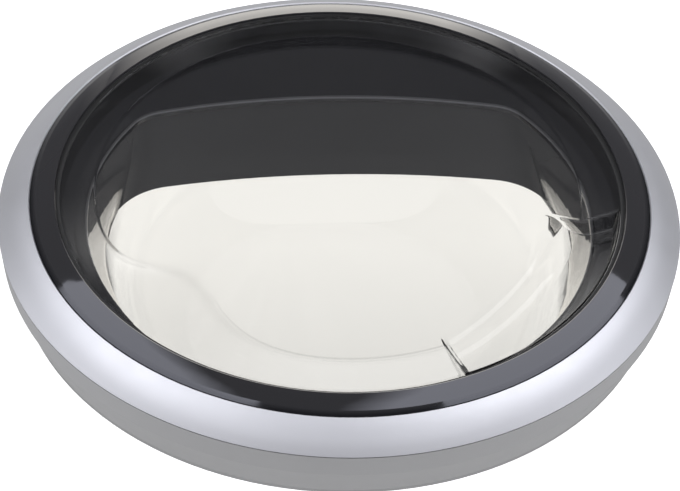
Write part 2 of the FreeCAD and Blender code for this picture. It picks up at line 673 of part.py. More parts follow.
def bowl_body(inset, top_r, top_h):
    """Solid inside one face of the bowl wall, closed at the axis."""
    bend = inset * 0.7
    curve = Part.BSplineCurve()
    curve.interpolate([
        V(top_r, 0, top_h),
        V((top_r + BOWL_WAIST_R) / 2 + RIB - inset * 0.6, 0, (top_h + WAIST_H) / 2 + inset * 0.4),
        V(BOWL_WAIST_R - inset, 0, WAIST_H + bend),
        V(BOWL_SHOULDER_R - bend, 0, SHOULDER_H + bend),
        V(BOWL_FLAT_R, 0, inset)])
    edges = [curve.toShape(),
             Part.makeLine(V(BOWL_FLAT_R, 0, inset), V(0, 0, inset)),
             Part.makeLine(V(0, 0, inset), V(0, 0, top_h)),
             Part.makeLine(V(0, 0, top_h), V(top_r, 0, top_h))]
    return Part.Face(Part.Wire(edges)).revolve(V(0, 0, 0), V(0, 0, 1), 360)


def beyond_slant(inset):
    """Space above the slanted face, moved inwards by the glass thickness."""
    rise_z = flange_low
    lean_y = SLANT_TOP - SLANT_LOW
    long_side = math.hypot(rise_z, lean_y)
    shift = inset * long_side / rise_z
    far = 2 * SEAM_R
    stretch = lean_y / rise_z * BOWL_DEPTH
    points = [V(-far, SLANT_LOW - shift - stretch, -BOWL_DEPTH), V(-far, far, -BOWL_DEPTH),
              V(-far, far, flange_low), V(-far, SLANT_TOP - shift, flange_low)]
    return Part.Face(Part.makePolygon(points + [points[0]])).extrude(V(2 * far, 0, 0))


bowl_skin = bowl_body(0, BOWL_NECK_R + GLASS_T, flange_low).cut(beyond_slant(0))
bowl_flange = disc(FLANGE_R, flange_low, FLANGE_TOP)
bowl_air = bowl_body(GLASS_T, BOWL_NECK_R, flange_low).cut(beyond_slant(GLASS_T))
neck_air = disc(BOWL_NECK_R, flange_low, FLANGE_TOP + RIB)
bowl = bowl_skin.fuse(bowl_flange)
bowl = bowl.cut(bowl_air).cut(neck_air)
save("glass_bowl", bowl)

# Rubber channel round the flange of the glass
seal_in = FLANGE_R + SEAT
save("bowl_seal", ring([
    (BOWL_NECK_R + 2 * RIB, FLANGE_TOP), (BOWL_NECK_R + 2 * RIB, SHROUD_FOOT), (seal_out_r, SHROUD_FOOT),
    (seal_out_r, flange_low - SEAL_T), (REAR_LIP_R, flange_low - SEAL_T), (REAR_LIP_R, flange_low),
    (seal_in, flange_low), (seal_in, FLANGE_TOP)]))

# Rear frame: stepped ring that clamps the glass, with a rim, ribs and openings
lip_top = flange_low - SEAL_T
lip_low = lip_top - WALL
rear_low = FOOT_H - REAR_T
step_out = REAR_STEP_R + WALL
rim_r = FOOT_R - lean - RUN
rear = ring([
    (REAR_LIP_R, lip_top), (REAR_LIP_R, lip_low), (step_out, lip_low), (step_out, rear_low),
    (REAR_R, rear_low), (REAR_R, FOOT_H), (rim_r, FOOT_H), (rim_r, FOOT_H + REAR_RIM),
    (rim_r - RIB, FOOT_H + REAR_RIM), (rim_r - RIB, FOOT_H), (REAR_STEP_R, FOOT_H), (REAR_STEP_R, lip_top)])
rear_rib = block(REAR_STEP_R + RIB, rim_r - RIB / 2, -RIB / 2, RIB / 2,
                 FOOT_H - RIB / 2, FOOT_H + REAR_RIB_H)
rear_ribs = []
clear_arc = math.degrees(BRACKET_HALF / FRAME_SCREW_R)
for k in range(REAR_RIB_COUNT):
    angle = (k + 0.5) * 360.0 / REAR_RIB_COUNT
    from_x = min(angle % 180.0, 180.0 - angle % 180.0)
    near_post = min(abs((angle - a + 180.0) % 360.0 - 180.0) for a in FRAME_SCREW_ANGLES)
    if from_x > clear_arc and near_post > WALL:
        rear_ribs.append(turned(rear_rib, angle))
rear_cuts = []
for angle in FRAME_SCREW_ANGLES:
    x, y = polar(FRAME_SCREW_R, angle)
    rear_cuts.append(post(x, y, rear_low - RIB, FOOT_H + RIB, SCREW_R + FIT))
for y in LEAF_SCREW_Y:
    rear_cuts.append(post(LEAF_SCREW_X, y, rear_low - RIB, FOOT_H + RIB, LEAF_SCREW_R + FIT))
rear_cuts.append(block(HOOK_SLOT_X0, HOOK_SLOT_X1, -HOOK_HALF - RIB, HOOK_HALF + RIB,
                       rear_low - RIB, FOOT_H + RIB))
latch_screw_x = (HOUSE_X0 + HOUSE_X1) / 2
house_out = HOUSE_IN + HOUSE_WALL
latch_screw_y = house_out + HOUSE_EAR / 2
for side in (-1, 1):
    rear_cuts.append(post(latch_screw_x, side * latch_screw_y, rear_low - RIB, FOOT_H + RIB, SCREW_R + FIT))
rear = fuse([rear] + rear_ribs).cut(rear_cuts)
save("rear_frame", rear)

# Screws from the rear frame into the posts
frame_screw = screw(SCREW_R, SCREW_HEAD_R, SCREW_HEAD_H, FRAME_SCREW_L)
group = []
for angle in FRAME_SCREW_ANGLES:
    x, y = polar(FRAME_SCREW_R, angle)
    group.append(put(frame_screw, x, y, rear_low))
save("frame_screws", Part.makeCompound(group))

# Door side of the hinge: leaf with a barrel, stiffener inside the door, bushes and screws
leaf_low = rear_low - LEAF_T
leaf = block(LEAF_OUT_X, LEAF_IN_X, -LEAF_HALF, LEAF_HALF, leaf_low, rear_low)
leaf = leaf.makeFillet(LEAF_CORNER, [e for e in leaf.Edges if abs(e.tangentAt(e.FirstParameter).z) > 0.9])
barrel = rod(BARREL_R, HINGE_X, HINGE_H, -BARREL_HALF, BARREL_HALF)
web = block(LEAF_OUT_X, HINGE_X + BARREL_R, -BARREL_HALF, BARREL_HALF, HINGE_H, leaf_low)
leaf = fuse([leaf, barrel, web])
leaf_cuts = [rod(BUSH_R + SEAT, HINGE_X, HINGE_H, -BARREL_HALF, BARREL_HALF)]
for y in LEAF_SCREW_Y:
    leaf_cuts.append(post(LEAF_SCREW_X, y, leaf_low - RIB, rear_low + RIB, LEAF_SCREW_R + FIT))
leaf = leaf.cut(leaf_cuts)
save("hinge_leaf", leaf)
stiff = block(LEAF_OUT_X, LEAF_IN_X, -LEAF_HALF, LEAF_HALF, FOOT_H, FOOT_H + STIFF_T)
stiff = stiff.makeFillet(LEAF_CORNER, [e for e in stiff.Edges if abs(e.tangentAt(e.FirstParameter).z) > 0.9])
collars = [post(LEAF_SCREW_X, y, FOOT_H, FOOT_H + 3 * STIFF_T, LEAF_SCREW_R + RIB) for y in LEAF_SCREW_Y]
bores = [post(LEAF_SCREW_X, y, FOOT_H - RIB, FOOT_H + 4 * STIFF_T, LEAF_SCREW_R + FIT) for y in LEAF_SCREW_Y]
stiff = fuse([stiff] + collars).cut(bores)
save("hinge_stiffener", stiff)
leaf_screw = screw(LEAF_SCREW_R, LEAF_SCREW_HEAD_R, LEAF_SCREW_HEAD_H, LEAF_T + REAR_T + 3 * STIFF_T)
save("leaf_screws", Part.makeCompound([put(leaf_screw, LEAF_SCREW_X, y, leaf_low) for y in LEAF_SCREW_Y]))


def bush(side):
    """Flanged bush pressed into one end of the barrel."""
    end = BARREL_HALF
    tube = rod(BUSH_R, HINGE_X, HINGE_H, end - BUSH_L, end)
    tube = tube.fuse(rod(BARREL_R - RUN, HINGE_X, HINGE_H, end, end + BUSH_FLANGE))
    tube = tube.cut(rod(HINGE_PIN_R + FIT, HINGE_X, HINGE_H, end - BUSH_L - RIB, end + BUSH_FLANGE + RIB))
    tube = tube.removeSplitter()
    if side < 0:
        tube = tube.mirror(V(0, 0, 0), V(0, 1, 0))
    return tube


save("hinge_bush_upper", bush(1))
save("hinge_bush_lower", bush(-1))

# Cabinet side of the hinge: plate with two ears, pin and retaining clip
ear_in = BARREL_HALF + BUSH_FLANGE + RUN
ear_out = ear_in + EAR_W
plate_low = HINGE_H - BRACKET_DROP
plate_top = plate_low + BRACKET_T
plate_out_x = HINGE_X - EAR_BACK
bracket = block(plate_out_x, BRACKET_IN_X, -BRACKET_HALF, BRACKET_HALF, plate_low, plate_top)
bracket = bracket.makeFillet(LEAF_CORNER, [e for e in bracket.Edges
                                           if abs(e.tangentAt(e.FirstParameter).z) > 0.9])
ears = []
ear_cuts = []
for side in (-1, 1):
    y0, y1 = sorted((side * ear_in, side * ear_out))
    ears.append(rod(BARREL_R, HINGE_X, HINGE_H, y0, y1))
    ears.append(block(plate_out_x, HINGE_X + BARREL_R, y0, y1, plate_low + BRACKET_T / 2, HINGE_H))
    brace = [V(HINGE_X + BARREL_R - RUN, y0, HINGE_H), V(HINGE_X + BARREL_R - RUN, y0, plate_top - RUN),
             V(HINGE_X + BARREL_R + BRACKET_DROP, y0, plate_top - RUN)]
    ears.append(Part.Face(Part.makePolygon(brace + [brace[0]])).extrude(V(0, y1 - y0, 0)))
    ear_cuts.append(rod(HINGE_PIN_R + SEAT, HINGE_X, HINGE_H, y0 - RUN, y1 + RUN))
for sx in (-1, 1):
    for sy in (-1, 1):
        ear_cuts.append(post(BRACKET_HOLES_MID + sx * BRACKET_HOLES_X / 2, sy * BRACKET_HOLES_Y / 2,
                             plate_low - RIB, plate_top + RIB, BRACKET_HOLE_R))
bracket = fuse([bracket] + ears).cut(ear_cuts)
save("hinge_bracket", bracket)
clip_y = ear_out + FIT
pin_end = clip_y + CLIP_T + FIT + RIB / 2
pin = rod(HINGE_PIN_R, HINGE_X, HINGE_H, -ear_out, pin_end)
pin = pin.fuse(rod(PIN_HEAD_R, HINGE_X, HINGE_H, -ear_out - PIN_HEAD_T, -ear_out)).removeSplitter()
groove = rod(HINGE_PIN_R + RIB, HINGE_X, HINGE_H, ear_out, clip_y + CLIP_T + FIT)
groove = groove.cut(rod(GROOVE_R, HINGE_X, HINGE_H, ear_out, clip_y + CLIP_T + FIT))
pin = pin.cut(groove)
save("hinge_pin", pin)
clip = rod(CLIP_R, HINGE_X, HINGE_H, clip_y, clip_y + CLIP_T)
clip = clip.cut(rod(GROOVE_R + SEAT, HINGE_X, HINGE_H, clip_y - RIB, clip_y + CLIP_T + RIB))
clip = clip.cut(block(HINGE_X, HINGE_X + 2 * CLIP_R, clip_y - RIB, clip_y + 2 * RIB,
                      HINGE_H - CLIP_GAP / 2, HINGE_H + CLIP_GAP / 2))
save("pin_clip", clip)

# Latch: housing inside the door, pin, sprung hook through the rear frame
house_top = FOOT_H + HOUSE_H
house = block(HOUSE_X0, HOUSE_X1, -house_out, house_out, FOOT_H, house_top)
house = house.cut(block(HOUSE_X0 + HOUSE_WALL, HOUSE_X1 - HOUSE_WALL, -HOUSE_IN, HOUSE_IN,
                        FOOT_H - RIB, house_top - HOUSE_WALL))
house_ears = []
house_cuts = [rod(LATCH_PIN_R + 2 * FIT, LATCH_X, LATCH_H, -house_out - RIB, house_out + RIB)]
for side in (-1, 1):
    y0, y1 = sorted((side * house_out, side * (house_out + HOUSE_EAR)))
    house_ears.append(block(HOUSE_X0 + RIB, HOUSE_X1 - RIB, y0, y1, FOOT_H, FOOT_H + HOUSE_EAR_T))
    house_ears.append(post(latch_screw_x, side * latch_screw_y, FOOT_H, FOOT_H + 2 * HOUSE_EAR_T, BOSS_R))
    house_cuts.append(post(latch_screw_x, side * latch_screw_y, FOOT_H - RIB,
                           FOOT_H + 2 * HOUSE_EAR_T - RIB, SCREW_R + FIT))
house = fuse([house] + house_ears).cut(house_cuts)
save("latch_housing", house)
latch_screw = screw(SCREW_R, SCREW_HEAD_R, SCREW_HEAD_H, REAR_T + HOUSE_EAR_T + RIB)
save("latch_screws", Part.makeCompound([put(latch_screw, latch_screw_x, s * latch_screw_y, rear_low)
                                        for s in (-1, 1)]))
latch_pin = rod(LATCH_PIN_R, LATCH_X, LATCH_H, -house_out, house_out + RUN)
head_end = -house_out - LATCH_PIN_HEAD_T
latch_pin = latch_pin.fuse(rod(LATCH_PIN_HEAD_R, LATCH_X, LATCH_H, head_end, -house_out))
save("latch_pin", latch_pin.removeSplitter())
hook_in = LATCH_X - HOOK_W / 2
hook_out = LATCH_X + HOOK_W / 2
hook_end = LATCH_H - HOOK_REACH
nose_x = hook_out + HOOK_NOSE - HOOK_W / 2
hook_outline = [
    V(hook_in, -HOOK_HALF, LATCH_H), V(hook_in, -HOOK_HALF, hook_end + HOOK_TIP),
    V(hook_in + HOOK_TIP, -HOOK_HALF, hook_end), V(hook_out - HOOK_TIP, -HOOK_HALF, hook_end),
    V(nose_x, -HOOK_HALF, hook_end + HOOK_NOSE_T - HOOK_TIP), V(nose_x, -HOOK_HALF, hook_end + HOOK_NOSE_T),
    V(hook_out, -HOOK_HALF, hook_end + HOOK_NOSE_T + RIB / 2), V(hook_out, -HOOK_HALF, LATCH_H)]
hook = Part.Face(Part.makePolygon(hook_outline + [hook_outline[0]])).extrude(V(0, 2 * HOOK_HALF, 0))
hook_boss = rod(HOOK_BOSS_R, LATCH_X, LATCH_H, -HOUSE_IN + RUN, HOOK_HALF)
hook = fuse([hook, hook_boss])
hook = hook.cut(rod(LATCH_PIN_R + FIT, LATCH_X, LATCH_H, -house_out, house_out))
save("latch_hook", hook)
spring_r = LATCH_PIN_R + FIT + SPRING_WIRE
spring_y = HOOK_HALF + SPRING_WIRE + RUN
helix = Part.makeHelix(SPRING_PITCH, SPRING_PITCH * SPRING_TURNS, spring_r)
corners = []
for k in range(WIRE_SIDES):
    x, z = polar(SPRING_WIRE, k * 360.0 / WIRE_SIDES)
    corners.append(V(spring_r + x, 0, z))
section = Part.makePolygon(corners + [corners[0]])
coil = Part.Wire(helix.Edges).makePipeShell([section], True, True)
leg_up = house_top - HOUSE_WALL - RUN - LATCH_H
leg_low = Part.makeCylinder(SPRING_WIRE, leg_up, V(spring_r, 0, 0), V(0, -1, 0))
coil_end = V(spring_r, 0, SPRING_PITCH * SPRING_TURNS)
leg_high = Part.makeCylinder(SPRING_WIRE, SPRING_FOOT, coil_end, V(0, 1, 0))
spring = coil.fuse([leg_low, leg_high])
spring.rotate(V(0, 0, 0), V(1, 0, 0), -90)
spring.translate(V(LATCH_X, spring_y, LATCH_H))
save("latch_spring", spring)
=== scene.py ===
import math

import bpy
from mathutils import Matrix, Vector


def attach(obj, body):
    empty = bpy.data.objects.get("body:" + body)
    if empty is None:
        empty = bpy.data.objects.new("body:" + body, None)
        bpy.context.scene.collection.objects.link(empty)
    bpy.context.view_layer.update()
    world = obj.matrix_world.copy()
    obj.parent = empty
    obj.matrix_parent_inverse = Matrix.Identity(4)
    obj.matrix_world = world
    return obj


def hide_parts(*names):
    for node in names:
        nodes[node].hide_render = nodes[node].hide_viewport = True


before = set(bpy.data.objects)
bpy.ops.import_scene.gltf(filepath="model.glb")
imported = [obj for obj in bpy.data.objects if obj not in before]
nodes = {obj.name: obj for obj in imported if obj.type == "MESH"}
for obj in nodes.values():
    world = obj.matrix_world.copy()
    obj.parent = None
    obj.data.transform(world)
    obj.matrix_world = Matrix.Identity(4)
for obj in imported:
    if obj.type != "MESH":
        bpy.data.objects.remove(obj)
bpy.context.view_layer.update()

# Height of the seam circle above the rest plane, in metres
SEAM = 0.112


# Node helpers

def add(tree, kind, inputs=None, **settings):
    """Adds a node with its settings and the constant values of its inputs."""
    node = tree.nodes.new(kind)
    for key, value in settings.items():
        setattr(node, key, value)
    for key, value in (inputs or {}).items():
        node.inputs[key].default_value = value
    return node


def new_material(name):
    """Empty material, with its node tree and its output node."""
    m = bpy.data.materials.new(name)
    m.use_nodes = True
    tree = m.node_tree
    tree.nodes.clear()
    out = tree.nodes.new("ShaderNodeOutputMaterial")
    return m, tree, out


def axes(tree, output):
    """X, Y and Z of a texture coordinate."""
    coord = add(tree, "ShaderNodeTexCoord")
    split = add(tree, "ShaderNodeSeparateXYZ")
    tree.links.new(coord.outputs[output], split.inputs[0])
    return split.outputs


def object_noise(tree, scale, detail=4.0, rough=0.5):
    coord = add(tree, "ShaderNodeTexCoord")
    noise = add(tree, "ShaderNodeTexNoise", {"Scale": scale, "Detail": detail, "Roughness": rough})
    tree.links.new(coord.outputs["Object"], noise.inputs["Vector"])
    return noise.outputs["Fac"]


def ramp(tree, source, low, high, a=0.0, b=1.0):
    """Runs from a to b while the source runs from low to high, and stays within them."""
    r = add(tree, "ShaderNodeMapRange", {"From Min": low, "From Max": high, "To Min": a, "To Max": b})
    tree.links.new(source, r.inputs["Value"])
    return r.outputs["Result"]


def calculate(tree, operation, a, b):
    n = add(tree, "ShaderNodeMath", operation=operation)
    tree.links.new(a, n.inputs[0])
    tree.links.new(b, n.inputs[1])
    return n.outputs["Value"]


def mix_colour(tree, factor, a, b):
    """Mixes two colours, each a socket or three numbers."""
    n = add(tree, "ShaderNodeMix", data_type="RGBA")
    for socket in n.inputs:
        if socket.type == "RGBA":
            colour = a if socket.name == "A" else b
            if isinstance(colour, bpy.types.NodeSocket):
                tree.links.new(colour, socket)
            else:
                socket.default_value = (*colour, 1)
    tree.links.new(factor, n.inputs["Factor"])
    return next(o for o in n.outputs if o.type == "RGBA")


def mix_shader(tree, factor, a, b):
    n = add(tree, "ShaderNodeMixShader")
    tree.links.new(factor, n.inputs["Fac"])
    tree.links.new(a, n.inputs[1])
    tree.links.new(b, n.inputs[2])
    return n.outputs["Shader"]


def bump(tree, height, strength, distance):
    b = add(tree, "ShaderNodeBump", {"Strength": strength, "Distance": distance})
    tree.links.new(height, b.inputs["Height"])
    return b.outputs["Normal"]


# Materials

GRAIN_STRENGTH = 0.3
SMEAR_FINER = 2.3
SMEAR_RANGE = (0.3, 0.7)


def surface(name, dark, light, rough, grain, grain_depth, metallic=0.0, specular=0.5, cloud=30.0):
    """Moulded, painted or plated surface: cloudy tint, rough patches and a fine grain."""
    m, tree, out = new_material(name)
    p = add(tree, "ShaderNodeBsdfPrincipled", {"Metallic": metallic, "Specular IOR Level": specular})
    soft = object_noise(tree, cloud, 3.0)
    tree.links.new(mix_colour(tree, soft, dark, light), p.inputs["Base Color"])
    smear = object_noise(tree, cloud * SMEAR_FINER, 5.0, 0.6)
    tree.links.new(ramp(tree, smear, *SMEAR_RANGE, *rough), p.inputs["Roughness"])
    fine = object_noise(tree, grain, 2.0)
    tree.links.new(bump(tree, fine, GRAIN_STRENGTH, grain_depth), p.inputs["Normal"])
    tree.links.new(p.outputs["BSDF"], out.inputs["Surface"])
    return m


def blend_in(m, share, colour):
    """Blends another colour into the body colour."""
    tree = m.node_tree
    socket = tree.nodes["Principled BSDF"].inputs["Base Color"]
    body = socket.links[0].from_socket
    tree.links.new(mix_colour(tree, share, body, colour), socket)


def paler_above(m, low, high, colour, satin):
    """Blends in another body colour over a range of heights, and makes what lies below it rougher."""
    tree = m.node_tree
    height = axes(tree, "Object")["Z"]
    blend_in(m, ramp(tree, height, low, high), colour)
    socket = tree.nodes["Principled BSDF"].inputs["Roughness"]
    polish = socket.links[0].from_socket
    tree.links.new(calculate(tree, "ADD", polish, ramp(tree, height, low, high, satin, 0.0)), socket)


# Painted edge highlight: limits of the upright share of a surface's direction where it turns over an edge,
# and a fade in metres
EDGE_STEEP = (0.30, 0.50)
EDGE_FLAT = (0.86, 0.78)
EDGE_FADE = 0.0005


def painted_edge_highlight(m, top, colour):
    """Painted highlight: blends in another, paler body colour where a surface below the given height turns
    over an edge.
    """
    tree = m.node_tree
    lean = axes(tree, "Normal")["Z"]
    share = ramp(tree, axes(tree, "Object")["Z"], top, top - EDGE_FADE)
    for limits in (EDGE_STEEP, EDGE_FLAT):
        share = calculate(tree, "MULTIPLY", share, ramp(tree, lean, *limits))
    blend_in(m, share, colour)


def glancing_gloss(m, colour, rough, power):
    """Adds a polish that shows at glancing angles only."""
    tree = m.node_tree
    socket = next(n for n in tree.nodes if n.type == "OUTPUT_MATERIAL").inputs["Surface"]
    body = socket.links[0].from_socket
    edge = add(tree, "ShaderNodeLayerWeight", {"Blend": 0.5})
    share = add(tree, "ShaderNodeMath", {1: power}, operation="POWER")
    tree.links.new(edge.outputs["Facing"], share.inputs[0])
    polish = add(tree, "ShaderNodeBsdfGlossy", {"Color": (*colour, 1), "Roughness": rough})
    tree.links.new(mix_shader(tree, share.outputs["Value"], body, polish.outputs["BSDF"]), socket)


PAINTED_SHADE_COLOUR = (0.55, 0.55, 0.54)
PASSED_LIGHT = (0.96, 0.96, 0.96, 1)
PANE_CLOUD = 22.0


def clear(name, tint, haze, ior, specular):
    """Polished clear pane with a faint cloudy tint, darker where the mesh carries painted shade."""
    m, tree, out = new_material(name)
    p = add(tree, "ShaderNodeBsdfPrincipled", {
        "Transmission Weight": 1.0, "IOR": ior, "Specular IOR Level": specular, "Roughness": 0.0})
    painted_shade = add(tree, "ShaderNodeAttribute", attribute_name="painted_shade")
    body = mix_colour(tree, object_noise(tree, PANE_CLOUD), tint, haze)
    # Painted shade: the mesh attribute darkens the pane's colour towards grey
    tree.links.new(mix_colour(tree, painted_shade.outputs["Fac"], body, PAINTED_SHADE_COLOUR), p.inputs["Base Color"])
    passing = add(tree, "ShaderNodeBsdfTransparent", {"Color": PASSED_LIGHT})
    path = add(tree, "ShaderNodeLightPath").outputs
    mixed = mix_shader(tree, path["Is Shadow Ray"], p.outputs["BSDF"], passing.outputs["BSDF"])
    tree.links.new(mixed, out.inputs["Surface"])
    return m


# The black ring's band is paler than what lies below it; the rounded edge of its throat gets a painted
# highlight, a paler colour where it turns
BAND_LOW = SEAM + 0.0150
BAND_HIGH = SEAM + 0.0165
THROAT_TOP = SEAM - 0.004
BLACK_SHEEN = (0.88, 0.90, 1.0, 1)

silver = surface("silver_paint", (0.60, 0.605, 0.63), (0.63, 0.635, 0.66), (0.44, 0.50), 9000.0, 0.00002,
                 metallic=0.85, cloud=14.0)
grey = surface("grey_body", (0.36, 0.36, 0.36), (0.38, 0.38, 0.38), (0.38, 0.48), 5200.0, 0.00003,
               cloud=20.0)
black = surface("black_bezel", (0.003, 0.003, 0.0035), (0.005, 0.005, 0.0055), (0.03, 0.06), 900.0,
                0.0000004, specular=0.7)
paler_above(black, BAND_LOW, BAND_HIGH, (0.028, 0.0275, 0.029), 0.03)
# Painted highlight along the rounded edge of the throat
painted_edge_highlight(black, THROAT_TOP, (0.12, 0.12, 0.125))
black.node_tree.nodes["Principled BSDF"].inputs["Specular Tint"].default_value = BLACK_SHEEN
shroud = surface("black_shroud", (0.036, 0.036, 0.036), (0.040, 0.040, 0.040), (0.03, 0.06), 600.0,
                 0.000001)
glancing_gloss(shroud, (0.92, 0.90, 0.87), 0.03, 2.0)
rear = surface("rear_grey", (0.36, 0.36, 0.36), (0.39, 0.39, 0.39), (0.42, 0.52), 4200.0, 0.00005)
rubber = surface("rubber", (0.02, 0.02, 0.02), (0.03, 0.03, 0.03), (0.6, 0.75), 2500.0, 0.00005)
zinc = surface("zinc_plate", (0.55, 0.55, 0.57), (0.66, 0.66, 0.67), (0.28, 0.42), 1600.0, 0.00002,
               metallic=1.0, cloud=60.0)
bright = surface("ground_steel", (0.62, 0.62, 0.64), (0.70, 0.70, 0.72), (0.18, 0.28), 2600.0, 0.00001,
                 metallic=1.0)
casting = surface("zinc_casting", (0.50, 0.50, 0.51), (0.60, 0.60, 0.61), (0.38, 0.52), 1500.0, 0.00005,
                  metallic=1.0)
nylon = surface("nylon", (0.74, 0.73, 0.69), (0.78, 0.77, 0.73), (0.4, 0.5), 2400.0, 0.00002)
dark_plastic = surface("latch_plastic", (0.03, 0.03, 0.03), (0.045, 0.045, 0.045), (0.4, 0.5), 3200.0,
                       0.00004)
cover_clear = clear("cover_clear", (0.99, 0.99, 0.98), (0.98, 0.98, 0.97), 1.49, 0.15)
bowl_clear = clear("bowl_clear", (0.995, 0.995, 0.99), (0.985, 0.985, 0.98), 1.47, 0.5)

finish = {
    "trim_ring": silver, "outer_frame": grey, "bezel_ring": black, "inner_shroud": shroud,
    "cover_gasket": rubber, "window_cover": cover_clear, "bezel_screws": zinc, "shroud_screws": zinc,
    "glass_bowl": bowl_clear, "bowl_seal": rubber, "rear_frame": rear, "frame_screws": zinc,
    "hinge_leaf": zinc, "hinge_stiffener": zinc, "leaf_screws": zinc, "hinge_bush_upper": nylon,
    "hinge_bush_lower": nylon, "hinge_bracket": zinc, "hinge_pin": bright, "pin_clip": bright,
    "latch_housing": dark_plastic, "latch_screws": zinc, "latch_pin": bright, "latch_hook": casting,
    "latch_spring": bright,
}
for name, material in finish.items():
    node = nodes[name]
    if not node.material_slots:
        node.data.materials.append(material)
    for one in node.material_slots:
        one.material = material

# Clear cover: the CAD form as a fine mesh with softened edges
# Sizes in millimetres, angles in degrees, heights measured from the seam circle
MM = 0.001
COVER_T = 2.6
COVER_R = 199.5
RIM_R = 196.7
RIM_TOP = 18.2
DISH_R = 172.0
DISH_UP = 18.5
DISH_FLOOR = 4.0
SWELL = 35.0
SWELL_AT = -147.0
SWELL_SIDE = 12.0
SWELL_DOWN = 24.0
COLLAR_R = 195.0
COLLAR_H = 0.5
COLLAR_LEAN = 2.0 / 14.5
FUNNEL_LEAN = 17.0 / 8.5
POCKET_R = 137.6
POCKET_ARC = 250.0
POCKET_MID = -37.0
POCKET_RUN = 24.0
POCKET_FLOOR = -6.0
POCKET_DRAFT = 3.0
POCKET_TOP = 20.2
POCKET_GAP = 0.4
POCKET_WALL = 1.9
SEAT_R = 197.0
END_UPPER = (-5.0, -8.7)
END_LOWER = (-65.4, -67.8)

# How far each corner is softened
DISH_SOFT = 0.4
SWELL_SOFT = 3.0
RIM_SOFT = 0.7
COLLAR_SOFT = 3.0
OUTER_SOFT = 2.5
END_SOFT = 4.0
CREST_SOFT = 1.0


def polar(radius, degrees):
    a = math.radians(degrees)
    return Vector((radius * math.cos(a), radius * math.sin(a)))


def lower(a, b, soft):
    """Lower of two heights, rounded off where they meet."""
    h = max(soft - abs(a - b), 0.0) / soft
    return min(a, b) - h * h * soft / 4


def higher(a, b, soft):
    """Higher of two heights, rounded off where they meet."""
    return -lower(-a, -b, soft)


class EndWall:
    """One end wall of the pocket, a drafted plane between two points."""

    def __init__(self, angles, side):
        self.near = polar(POCKET_R, angles[0])
        self.along = (polar(SEAT_R, angles[1]) - self.near).normalized()
        self.aside = Vector((-self.along.y, self.along.x)) * side
        self.start = angles[0]

    def outside(self, point):
        return (point - self.near).dot(self.aside)

    def angle(self, radius):
        """Direction in which the wall crosses a circle about the door's axis."""
        if radius <= POCKET_R:
            return self.start
        b = self.near.dot(self.along)
        reach = math.sqrt(b * b - POCKET_R ** 2 + radius ** 2) - b
        p = self.near + self.along * reach
        return math.degrees(math.atan2(p.y, p.x))


upper_end = EndWall(END_UPPER, 1)
lower_end = EndWall(END_LOWER, -1)
pocket_centre = polar(POCKET_R - POCKET_ARC, POCKET_MID)
slope_drop = DISH_FLOOR - POCKET_FLOOR
slope_bend = (POCKET_RUN ** 2 + slope_drop ** 2) / (4 * slope_drop)


def swelling(degrees):
    """Share of the swelling in one direction, 1 at its middle."""
    off = math.remainder(degrees - SWELL_AT, 360)
    return math.exp(-(off / (SWELL_DOWN if off > 0 else SWELL_SIDE)) ** 2)


def dish_edge(degrees):
    """Radius of the dish edge in one direction."""
    across = polar(DISH_UP, degrees)
    return across.y + math.sqrt(DISH_R ** 2 - across.x ** 2) - SWELL * swelling(degrees)


def dish_height(radius, degrees, below):
    """Height of the dish and its wall, on the face that lies below the front by the given amount."""
    edge = dish_edge(degrees) + below / 2
    rise = (radius - edge) / (RIM_R - edge) * (RIM_TOP - DISH_FLOOR)
    soft = DISH_SOFT + SWELL_SOFT * swelling(degrees)
    bowl = higher(DISH_FLOOR - below, DISH_FLOOR - below + rise, soft)
    return lower(bowl, RIM_TOP - below, RIM_SOFT)


def slope_height(out, below):
    """Two arcs from the dish floor to the pocket floor, out from the pocket's inner edge."""
    out = out + below
    split = POCKET_RUN / 2 * (1 - below / slope_bend)
    if out <= 0:
        return DISH_FLOOR - below + out ** 2 / (2 * slope_bend)
    if out < split:
        return DISH_FLOOR - slope_bend + math.sqrt((slope_bend - below) ** 2 - out ** 2)
    if out < POCKET_RUN:
        return POCKET_FLOOR + slope_bend - math.sqrt((slope_bend + below) ** 2 - (POCKET_RUN - out) ** 2)
    return POCKET_FLOOR - below


def wall_height(radius, lean, inset):
    """Height of a cone that follows the bezel's collar or funnel at a distance."""
    return COLLAR_H + (radius + inset * math.hypot(1, lean) - COLLAR_R) / lean


def pocket_height(point, below):
    """Height of the pocket: its slope and floor, its outer wall and its two ends."""
    inset = POCKET_GAP if below else POCKET_GAP + POCKET_WALL
    collar = wall_height(point.length, COLLAR_LEAN, inset)
    funnel = wall_height(point.length, FUNNEL_LEAN, inset)
    height = slope_height((point - pocket_centre).length - POCKET_ARC, below)
    height = higher(height, higher(collar, funnel, COLLAR_SOFT), OUTER_SOFT)
    steep = (POCKET_TOP - POCKET_FLOOR) / (2 * POCKET_DRAFT)
    for end in (upper_end, lower_end):
        climb = POCKET_FLOOR - below + (end.outside(point) + POCKET_DRAFT - below) * steep
        height = higher(height, climb, END_SOFT)
    return height


def cover_height(point, degrees, below):
    return lower(dish_height(point.length, degrees, below), pocket_height(point, below), CREST_SOFT)


# Painted shade on the cover: strength, middle and width of each shade, out from the dish edge
LINE_SHADE = (0.50, 0.0, 0.6)
WALL_SHADE = (0.10, 4.0, 4.0)
SWELL_SHADE = (0.16, 5.0, 6.0)
BASE_PAINTED_SHADE = 0.03
BASE_RUN = 3.0
POCKET_MARGIN = 1


def shade(out, strength, middle, width):
    return strength * math.exp(-((out - middle) / width) ** 2)


